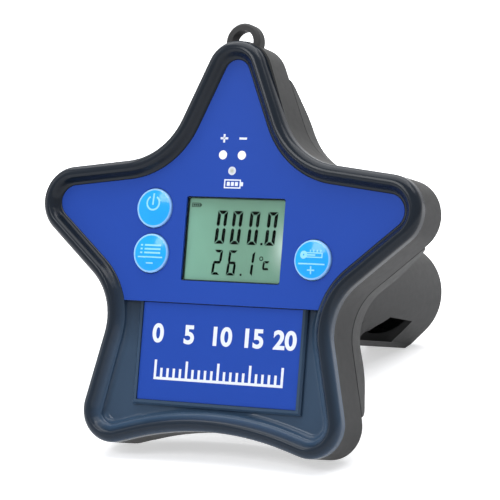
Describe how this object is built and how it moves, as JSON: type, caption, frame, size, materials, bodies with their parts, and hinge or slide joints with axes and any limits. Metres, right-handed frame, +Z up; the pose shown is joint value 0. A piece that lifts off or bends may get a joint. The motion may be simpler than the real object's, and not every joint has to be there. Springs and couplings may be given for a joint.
{
  "type": "dissolved oxygen meter",
  "caption": "Star shaped water meter with display and push buttons, standing on its lower lobes and a rear sensor tube with a flow window and hanging loop.",
  "frame": {"origin": "on the floor under the middle of the standing meter", "axes": "+X to the right seen from the front, +Y from the face back to the tube's end, +Z up. The face leans back by 19.4 degrees and looks towards -Y"},
  "size_m": [0.1498, 0.173, 0.1473],
  "materials": {
    "navy_plastic": "glossy moulded navy plastic",
    "charcoal_plastic": "satin moulded charcoal plastic",
    "blue_panel": "printed blue overlay with white legends",
    "button_blue": "translucent light blue key caps",
    "clear_lens": "clear display window",
    "display": "grey green reflective liquid crystal cell",
    "white_plastic": "white moulded plastic",
    "black_plastic": "black moulded plastic",
    "nickel": "nickel plated metal",
    "steel": "stainless steel",
    "lamp": "diffused white lamp lens",
    "circuit_board": "green lacquered glass fibre board",
    "chip_black": "black epoxy packages",
    "seal_rubber": "black silicone rubber",
    "cell_wrap": "shrink wrapped rechargeable cell",
    "membrane": "thin gas permeable film"
  },
  "bodies": {
    "meter": {"front_bezel": "navy_plastic", "main_panel": "blue_panel", "name_plate": "blue_panel", "lcd_lens": "clear_lens", "lcd_glass": "display", "lcd_holder": "white_plastic", "backlight_panel": "white_plastic", "contact_strips": "seal_rubber", "key_switches": "black_plastic", "charge_contacts": "nickel", "charge_lamp": "lamp", "main_board": "circuit_board", "board_screws": "steel", "controller_chip": "chip_black", "board_parts": "chip_black", "front_seal": "seal_rubber", "mid_housing": "charcoal_plastic", "cover_seal": "seal_rubber", "rear_cover": "charcoal_plastic", "cover_screws": "steel", "sensor_guard": "charcoal_plastic", "guard_seal": "seal_rubber", "guard_nut": "black_plastic", "guard_end_cap": "charcoal_plastic", "electrode_bulkhead": "black_plastic", "bulkhead_seal": "seal_rubber", "electrode_body": "black_plastic", "membrane_cap": "black_plastic", "oxygen_membrane": "membrane", "temperature_probe": "steel", "battery_cell": "cell_wrap", "battery_sleeve": "white_plastic"},
    "power_button": {"power_button": "button_blue"},
    "mode_button": {"mode_button": "button_blue"},
    "temp_button": {"temp_button": "button_blue"}
  },
  "joints": [
    {"name": "power_press", "type": "slide", "parent": "meter", "child": "power_button", "axis": [0, 0.943, -0.3327], "range_m": [0, 0.0005], "stiffness_N_per_m": 2000},
    {"name": "mode_press", "type": "slide", "parent": "meter", "child": "mode_button", "axis": [0, 0.943, -0.3327], "range_m": [0, 0.0005], "stiffness_N_per_m": 2000},
    {"name": "temp_press", "type": "slide", "parent": "meter", "child": "temp_button", "axis": [0, 0.943, -0.3327], "range_m": [0, 0.0005], "stiffness_N_per_m": 2000}
  ]
}
